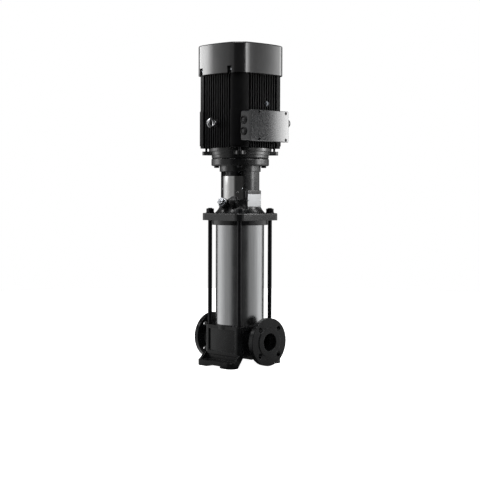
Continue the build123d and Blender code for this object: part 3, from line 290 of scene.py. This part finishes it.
# Parts whose finish on this pump isn't the usual one of their slot.
SLOTS.update(dict.fromkeys(("coupling_half_left", "coupling_half_right", "lid_screws"), "black_fasteners"))
SLOTS.update(base_casting="dull_base_iron", drive_end_shield="black_cast_iron", earth_terminal="core_steel")
for name, node in frame["nodes"].items():
    node.data.materials.clear()
    node.data.materials.append(FINISHES[SLOTS[name]])


# ---- where the fasteners sit ----
def solids(name):
    """The separate solids of a CAD node, each as a list of its points."""
    mesh = bmesh.new()
    mesh.from_mesh(frame["nodes"][name].data)
    bmesh.ops.remove_doubles(mesh, verts=mesh.verts, dist=WELD)
    left, found = set(mesh.verts), []
    while left:
        front = [left.pop()]
        points = []
        while front:
            vertex = front.pop()
            points.append(vertex.co.copy())
            fresh = {edge.other_vert(vertex) for edge in vertex.link_edges} & left
            left -= fresh
            front += fresh
        found.append(points)
    mesh.free()
    return found


def seat(points, axis, head):
    """Centre of the face that a head of that height rests on, and the length of the stem behind it."""
    side = axis.orthogonal().normalized()
    other = axis.cross(side)
    spans = [(min(p.dot(way) for p in points), max(p.dot(way) for p in points)) for way in (side, other, axis)]
    level = spans[2][1] - head
    centre = side * sum(spans[0]) / 2 + other * sum(spans[1]) / 2 + axis * level
    return centre, level - spans[2][0]


def outward(points):
    """Level direction from the pump's axis to the middle of the points."""
    middle = sum(points, Vector()) / len(points)
    return Vector((middle.x, middle.y, 0.0)).normalized()


# ---- fastener trees ----
def start_tree(name, sizes):
    """A geometry tree that takes points, the named sizes in metres and a finish."""
    tree = bpy.data.node_groups.new(name, "GeometryNodeTree")
    tree.interface.new_socket("Points", in_out="INPUT", socket_type="NodeSocketGeometry")
    for size in sizes:
        tree.interface.new_socket(size, in_out="INPUT", socket_type="NodeSocketFloat")
    tree.interface.new_socket("Finish", in_out="INPUT", socket_type="NodeSocketMaterial")
    tree.interface.new_socket("Geometry", in_out="OUTPUT", socket_type="NodeSocketGeometry")
    return tree, add(tree, "NodeGroupInput").outputs


def raised(tree, mesh, height):
    """The mesh lifted along its own axis."""
    offset = add(tree, "ShaderNodeCombineXYZ", {"Z": height}).outputs[0]
    return add(tree, "GeometryNodeTransform", {"Geometry": mesh, "Translation": offset}).outputs[0]


def gathered(tree, node, socket, pieces):
    """Links all the pieces to the one socket of a node and gives what comes out."""
    for piece in pieces:
        tree.links.new(piece, node.inputs[socket])
    return node.outputs[0]


def end_tree(tree, given, head, parts, stem_sides):
    """Head, stem and the other parts as one on every point, turned so that its axis follows the point's axis."""
    stem = add(tree, "GeometryNodeMeshCylinder", {"Vertices": stem_sides, "Radius": given["Stem radius"],
                                                  "Depth": given["Stem length"]}).outputs[0]
    sunk = add(tree, "ShaderNodeMath", {0: given["Stem length"], 1: -0.5}, operation="MULTIPLY").outputs[0]
    mesh = gathered(tree, add(tree, "GeometryNodeJoinGeometry"), 0, (head, *parts, raised(tree, stem, sunk)))
    axis = add(tree, "GeometryNodeInputNamedAttribute", {"Name": "axis"}, data_type="FLOAT_VECTOR").outputs[0]
    turn = add(tree, "FunctionNodeAlignRotationToVector", {"Vector": axis}, axis="Z").outputs[0]
    copies = add(tree, "GeometryNodeInstanceOnPoints", {
        "Points": given["Points"], "Instance": mesh, "Rotation": turn}).outputs[0]
    solid = add(tree, "GeometryNodeRealizeInstances", {"Geometry": copies}).outputs[0]
    finished = add(tree, "GeometryNodeSetMaterial", {"Geometry": solid, "Material": given["Finish"]}).outputs[0]
    add(tree, "NodeGroupOutput", {"Geometry": finished})
    return tree


def hex_fastener_tree():
    """Hexagon head or nut with turned corners on a round washer, and a stem behind it."""
    tree, given = start_tree("hex_fastener", (
        "Across flats", "Head height", "Washer radius", "Washer height", "Stem radius", "Stem length"))
    flats, height, lift = given["Across flats"], given["Head height"], given["Washer height"]
    corner, rim, foot, middle, washer_middle = (
        add(tree, "ShaderNodeMath", {0: value, 1: factor}, operation="MULTIPLY").outputs[0]
        for value, factor in ((flats, 0.57735), (flats, 0.475), (height, 1.73), (height, 0.5), (lift, 0.5)))
    prism = add(tree, "GeometryNodeMeshCylinder", {"Vertices": 6, "Radius": corner, "Depth": height}).outputs[0]
    # The cone takes the corners off the top of the hexagon, at 30 degrees.
    cone = add(tree, "GeometryNodeMeshCone", {
        "Vertices": 48, "Radius Top": rim, "Depth": height,
        "Radius Bottom": add(tree, "ShaderNodeMath", {0: rim, 1: foot}, operation="ADD").outputs[0]}).outputs[0]
    head = gathered(tree, add(tree, "GeometryNodeMeshBoolean", operation="INTERSECT", solver="EXACT"), 1,
                    (raised(tree, prism, middle), cone))
    washer = add(tree, "GeometryNodeMeshCylinder", {"Vertices": 48, "Radius": given["Washer radius"],
                                                    "Depth": lift}).outputs[0]
    return end_tree(tree, given, raised(tree, head, lift), (raised(tree, washer, washer_middle),), 24)


def round_screw_tree():
    """Pan head with a domed top and a cross recess, and a stem behind it."""
    tree, given = start_tree("round_screw", ("Head radius", "Head height", "Recess", "Stem radius", "Stem length"))
    radius, height, recess = given["Head radius"], given["Head height"], given["Recess"]
    rise, middle, bar_length, radius_squared = (
        add(tree, "ShaderNodeMath", {0: value, 1: factor}, operation="MULTIPLY").outputs[0]
        for value, factor in ((height, 0.6), (height, 0.5), (recess, 4.0), (radius, radius)))
    # The dome is cut from a ball of radius (radius squared + rise squared) / (2 x rise).
    rise_squared = add(tree, "ShaderNodeMath", {0: rise, 1: rise}, operation="MULTIPLY").outputs[0]
    squares = add(tree, "ShaderNodeMath", {0: radius_squared, 1: rise_squared}, operation="ADD").outputs[0]
    twice = add(tree, "ShaderNodeMath", {0: squares, 1: rise}, operation="DIVIDE").outputs[0]
    ball = add(tree, "ShaderNodeMath", {0: twice, 1: 0.5}, operation="MULTIPLY").outputs[0]
    dome = add(tree, "GeometryNodeMeshUVSphere", {"Segments": 32, "Rings": 48, "Radius": ball}).outputs[0]
    centre = add(tree, "ShaderNodeMath", {0: height, 1: ball}, operation="SUBTRACT").outputs[0]
    disc = add(tree, "GeometryNodeMeshCylinder", {"Vertices": 32, "Radius": radius, "Depth": height}).outputs[0]
    head = gathered(tree, add(tree, "GeometryNodeMeshBoolean", operation="INTERSECT", solver="EXACT"), 1,
                    (raised(tree, dome, centre), raised(tree, disc, middle)))
    bars = []
    for long_way, short_way in (("X", "Y"), ("Y", "X")):
        size = add(tree, "ShaderNodeCombineXYZ", {long_way: bar_length, short_way: recess, "Z": height}).outputs[0]
        bars.append(raised(tree, add(tree, "GeometryNodeMeshCube", {"Size": size}).outputs[0], height))
    cut = add(tree, "GeometryNodeMeshBoolean", {"Mesh 1": head}, operation="DIFFERENCE", solver="EXACT")
    return end_tree(tree, given, gathered(tree, cut, 1, bars), (), 20)


HEX_FASTENER, ROUND_SCREW = hex_fastener_tree(), round_screw_tree()


def grow(name, node, tree, places, sizes):
    """Grows fasteners on the places, each a point and its axis, and lets them stand for the CAD node."""
    mesh = bpy.data.meshes.new(name)
    mesh.from_pydata([place for place, axis in places], [], [])
    axes = mesh.attributes.new("axis", "FLOAT_VECTOR", "POINT")
    for i, (place, axis) in enumerate(places):
        axes.data[i].vector = axis
    piece = bpy.data.objects.new(name, mesh)
    bpy.context.scene.collection.objects.link(piece)
    maker = piece.modifiers.new("maker", "NODES")
    maker.node_group = tree
    values = {"Finish": FINISHES[SLOTS[node]], **{size: value * MM for size, value in sizes.items()}}
    for socket in tree.interface.items_tree:
        if socket.in_out == "INPUT" and socket.name in values:
            maker[socket.identifier] = values[socket.name]
    shape = piece.evaluated_get(bpy.context.evaluated_depsgraph_get())
    solid = bpy.data.meshes.new_from_object(shape)
    piece.modifiers.clear()
    piece.data = solid
    shade(solid, HEAD_EDGE)
    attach(piece, "pump_frame")
    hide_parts(node)


def shade(solid, turn):
    """Smooth faces, with edges left sharp where the surface turns by more than that many degrees."""
    mesh = bmesh.new()
    mesh.from_mesh(solid)
    for face in mesh.faces:
        face.smooth = True
    for edge in mesh.edges:
        edge.smooth = len(edge.link_faces) == 2 and degrees(edge.calc_face_angle(0.0)) < turn
    mesh.to_mesh(solid)
    mesh.free()


# ---- fasteners ----
def place_hex_fasteners():
    """Nuts on the staybolts, bolts under the stool flange and long bolts through the motor."""
    # Each nut touches its washer, so the two are found as one solid. Nuts have a stem of their own, 2 mm long.
    for name, node, axis, flats, height, washer_radius, washer_height, stem_radius, stem_length in (
            ("flange_nuts", "staybolt_nuts", UP, 24, 13, 15, 3, 7, 2),
            ("flange_bolts", "motor_flange_bolts", -UP, 16, 6.2, 8, 0.8, 5, None),
            ("motor_bolts", "motor_tie_bolts", UP, 13, 5.4, 6.5, 0.6, 4, None)):
        found = [seat(points, axis, (height + washer_height) * MM) for points in solids(node)]
        grow(name, node, HEX_FASTENER, [(place, axis) for place, length in found], {
            "Across flats": flats, "Head height": height, "Washer radius": washer_radius,
            "Washer height": washer_height, "Stem radius": stem_radius,
            "Stem length": stem_length or found[0][1] / MM})


def place_round_screws():
    """Cross-recessed screws of the fan cover, the terminal lid and the guards, and the plate's rivets."""
    for name, node, axis, radius, height, recess, stem in (
            ("cover_screws", "fan_cover_screws", None, 5.4, 3.0, 1.5, 3.0),
            ("box_screws", "lid_screws", Vector((1, 0, 0)), 4.5, 3.2, 1.3, 2.5),
            ("shield_screws", "guard_screws", outward, 4.25, 2.4, 1.2, 2.5),
            ("plate_rivets", "nameplate_rivets", Vector((1, 0, 0)), 2.5, 1.2, 0.01, 1.25)):
        places, stems = [], []
        for points in solids(node):
            middle = sum(points, Vector()) / len(points)
            way = axis(points) if callable(axis) else axis or Vector((0, 1 if middle.y > 0 else -1, 0))
            place, length = seat(points, way, height * MM)
            places.append((place, way))
            stems.append(length / MM)
        grow(name, node, ROUND_SCREW, places, {
            "Head radius": radius, "Head height": height, "Recess": recess, "Stem radius": stem,
            "Stem length": min(stems)})


place_hex_fasteners()
place_round_screws()


# ---- turned pieces ----
def turned(name, node, places, profile, slot):
    """Turns a profile of radius and height in mm round the axis of each place."""
    mesh = bmesh.new()
    step = radians(360 / TURNED_SIDES)
    for place, axis in places:
        turn = Matrix.Translation(place) @ axis.to_track_quat("Z", "Y").to_matrix().to_4x4()
        rings = []
        for radius, height in profile:
            # A radius of none is one point on the axis.
            points = [Vector((radius * cos(step * i), radius * sin(step * i), height)) * MM
                      for i in range(TURNED_SIDES if radius else 1)]
            rings.append([mesh.verts.new(turn @ point) for point in points])
        for low, high in zip(rings, rings[1:]):
            for i in range(TURNED_SIDES):
                corners = [ring[k % len(ring)] for ring, k in ((low, i), (low, i + 1), (high, i + 1), (high, i))]
                mesh.faces.new(list(dict.fromkeys(corners)))
    data = bpy.data.meshes.new(name)
    mesh.to_mesh(data)
    mesh.free()
    data.materials.append(FINISHES[slot])
    piece = bpy.data.objects.new(name, data)
    bpy.context.scene.collection.objects.link(piece)
    shade(data, PLUG_EDGE)
    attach(piece, "pump_frame")
    if node:
        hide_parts(node)


def place_entry_plugs():
    """Blind plugs of the terminal box: a black collar round a raised middle, and a long gland on the far side."""
    near, far = [], []
    for points in solids("cable_entry_plugs"):
        if sum(points, Vector()).y > 0:
            far.append((seat(points, FAR_SIDE, 27 * MM)[0], FAR_SIDE))
        else:
            near.append((seat(points, -FAR_SIDE, 6 * MM)[0], -FAR_SIDE))
    stem = [(0, -6), (10.8, -6), (10.8, 0), (14.3, 0)]
    turned("entry_plugs", "cable_entry_plugs", near, [
        *stem, (14.3, 2.4), (13.4, 3.4), (11.6, 3.4), (10.9, 2.6), (10.4, 1.0), (6.2, 1.0), (0, 1.0)], "rubber_seals")
    turned("entry_plug_middles", None, near, [
        (0, 0.5), (6.6, 0.5), (6.6, 2.6), (6.1, 3.0), (2.3, 3.0), (2.2, 1.2), (0, 1.2)], "dark_box_paint")
    turned("side_entry_gland", None, far, [
        *stem, (14.3, 9), (13.2, 10), (12.4, 10), (12.4, 12), (14.3, 13), (14.3, 25), (13, 26.8), (9, 26.8),
        (8.4, 22), (0, 22)], "black_plastic")


place_entry_plugs()


# ---- studio ----
def glow(name, near, far, near_level, far_level):
    """Soft white light that changes between two distances behind the axis of the pump."""
    material, tree, place = begin(name)
    depth = add(tree, "ShaderNodeVectorMath", {0: place, 1: AWAY}, operation="DOT_PRODUCT").outputs["Value"]
    fade = add(tree, "ShaderNodeMapRange", {"Value": depth, "From Min": near, "From Max": far, "To Min": near_level,
                                            "To Max": far_level}, interpolation_type="SMOOTHSTEP").outputs[0]
    return close(material, add(tree, "ShaderNodeEmission", {"Strength": fade}))


def light_card(name, near, far, heights, light):
    """Upright glowing card between two places (right, away) on the floor, which the camera doesn't see."""
    corners = [RIGHT * side + AWAY * depth + UP * z
               for (side, depth), z in ((near, heights[0]), (far, heights[0]), (far, heights[1]), (near, heights[1]))]
    mesh = bpy.data.meshes.new(name)
    mesh.from_pydata(corners, [], [(0, 1, 2, 3)])
    mesh.materials.append(glow(name, *light))
    card = bpy.data.objects.new(name, mesh)
    bpy.context.scene.collection.objects.link(card)
    card.visible_camera = card.visible_shadow = False


def mirrored_level(tree, way):
    """What gloss sees in a level direction: dark before the pump, grey beside it, white further round, dark behind."""
    depth = add(tree, "ShaderNodeVectorMath", {0: way, 1: AWAY}, operation="DOT_PRODUCT").outputs["Value"]
    sides = add(tree, "ShaderNodeMapRange", {"Value": depth, "From Min": -0.84, "From Max": -0.68, "To Min": 0.03,
                                             "To Max": 0.36}, interpolation_type="SMOOTHSTEP").outputs[0]
    backdrop = add(tree, "ShaderNodeMapRange", {"Value": depth, "From Min": -0.45, "From Max": 0.4, "To Min": 0.0,
                                                "To Max": 0.64}, interpolation_type="SMOOTHSTEP").outputs[0]
    edges = add(tree, "ShaderNodeMapRange", {"Value": depth, "From Min": 0.5, "From Max": 0.9, "To Min": 1.0,
                                             "To Max": 0.12}, interpolation_type="SMOOTHSTEP").outputs[0]
    both = add(tree, "ShaderNodeMath", {0: sides, 1: backdrop}, operation="ADD").outputs[0]
    return add(tree, "ShaderNodeMath", {0: both, 1: edges}, operation="MULTIPLY").outputs[0]


def lay_floor():
    """Large round pale floor: white to the camera, with the pump's shadow, and graded like the room in gloss."""
    mesh = bmesh.new()
    bmesh.ops.create_circle(mesh, cap_ends=True, segments=96, radius=FLOOR_RADIUS)
    data = bpy.data.meshes.new("studio_floor")
    mesh.to_mesh(data)
    mesh.free()
    material, tree, place = begin("pale_studio_floor")
    path = add(tree, "ShaderNodeLightPath").outputs
    seen = add(tree, "ShaderNodeMath", {0: path["Is Camera Ray"], 1: path["Is Transmission Ray"]},
               operation="MAXIMUM")
    matt = add(tree, "ShaderNodeBsdfDiffuse", {"Color": colour("#e8e8e8")})
    shine = add(tree, "ShaderNodeEmission", {"Strength": seen.outputs[0]})
    direct = add(tree, "ShaderNodeAddShader", {0: matt.outputs[0], 1: shine.outputs[0]})
    way = add(tree, "ShaderNodeVectorMath", {0: place}, operation="NORMALIZE").outputs["Vector"]
    mirrored = add(tree, "ShaderNodeEmission", {"Strength": mirrored_level(tree, way)})
    data.materials.append(close(material, add(tree, "ShaderNodeMixShader", {
        0: path["Is Glossy Ray"], 1: direct.outputs[0], 2: mirrored.outputs[0]})))
    floor = bpy.data.objects.new("studio_floor", data)
    bpy.context.scene.collection.objects.link(floor)


def light_room():
    """Even room light and a white background; in gloss the room is dark overhead and as mirrored_level says."""
    world = bpy.data.worlds.new("studio_room")
    bpy.context.scene.world = world
    world.use_nodes = True
    tree = world.node_tree
    tree.nodes.clear()
    path = add(tree, "ShaderNodeLightPath").outputs
    way = add(tree, "ShaderNodeTexCoord").outputs["Generated"]
    height = add(tree, "ShaderNodeVectorMath", {0: way, 1: UP}, operation="DOT_PRODUCT").outputs["Value"]
    overhead = add(tree, "ShaderNodeMapRange", {"Value": height, "From Min": 0.18, "From Max": 0.45, "To Min": 1.0,
                                                "To Max": 0.12}, interpolation_type="SMOOTHSTEP").outputs[0]
    backdrop = add(tree, "ShaderNodeMath", {0: mirrored_level(tree, way), 1: overhead},
                   operation="MULTIPLY").outputs[0]
    level = add(tree, "ShaderNodeMix", {0: path["Is Glossy Ray"], 2: ROOM_LEVEL, 3: backdrop}).outputs[0]
    seen = add(tree, "ShaderNodeMath", {0: path["Is Camera Ray"], 1: path["Is Transmission Ray"]},
               operation="MAXIMUM").outputs[0]
    level = add(tree, "ShaderNodeMix", {0: seen, 2: level, 3: 1.0}).outputs[0]
    back = add(tree, "ShaderNodeBackground", {"Color": (1, 1, 1, 1), "Strength": level})
    add(tree, "ShaderNodeOutputWorld", {"Surface": back.outputs[0]})


def hang_lamp(name, place, size, power):
    """Large soft lamp aimed at the middle of the pump."""
    data = bpy.data.lights.new(name, "AREA")
    data.shape, data.size, data.energy = "DISK", size, power
    lamp = bpy.data.objects.new(name, data)
    aim = LAMP_AIM - place
    lamp.matrix_world = Matrix.Translation(place) @ aim.to_track_quat("-Z", "Y").to_matrix().to_4x4()
    bpy.context.scene.collection.objects.link(lamp)


def set_camera():
    """Camera four metres away, a little above the middle of the pump."""
    data = bpy.data.cameras.new("studio_camera")
    data.sensor_width, data.lens = 36.0, CAMERA_LENS
    camera = bpy.data.objects.new("studio_camera", data)
    bpy.context.scene.collection.objects.link(camera)
    heading, tilt, roll = (radians(angle) for angle in CAMERA_TURN)
    turn = Matrix.Rotation(heading, 4, "Z") @ Matrix.Rotation(tilt, 4, "X") @ Matrix.Rotation(roll, 4, "Z")
    camera.matrix_world = Matrix.Translation(AWAY * -CAMERA_DISTANCE + UP * CAMERA_HEIGHT) @ turn
    bpy.context.scene.camera = camera


lay_floor()
light_room()
# Name, near and far end as (right, away), heights, and where the light changes from one level to the other.
for card in (
        ("left_card", (-0.5, -0.08), (-0.5, 0.3), (0.95, 1.22), (-0.08, 0.06, 0.5, 5.0)),
        ("right_card", (0.5, -0.1), (0.5, 0.3), (1.0, 1.22), (-0.1, 0.2, 0.8, 3.0)),
        ("front_card", (0.65, -1.0), (1.1, -0.5), (0.95, 1.36), (-1.0, -0.5, 6.0, 0.8)),
        ("left_middle_card", (-1.0, -0.12), (-1.0, 0.4), (0.68, 0.85), (-0.12, 0.05, 1.0, 3.5)),
        ("right_middle_card", (1.0, -0.55), (1.0, 0.3), (0.73, 0.83), (-0.55, -0.3, 1.0, 5.0)),
        ("right_stool_card", (1.0, -0.55), (1.0, -0.12), (0.6, 0.73), (-0.45, -0.3, 0.6, 7.0)),
        ("low_right_card", (0.5, -0.2), (0.5, 0.0), (0.765, 0.98), (-0.138, -0.04, 0.15, 14.0))):
    light_card(*card)
hang_lamp("top_lamp", Vector((0.3, -0.6, 2.8)), 1.8, 60.0)
set_camera()
bpy.context.scene.view_settings.view_transform = "Standard"
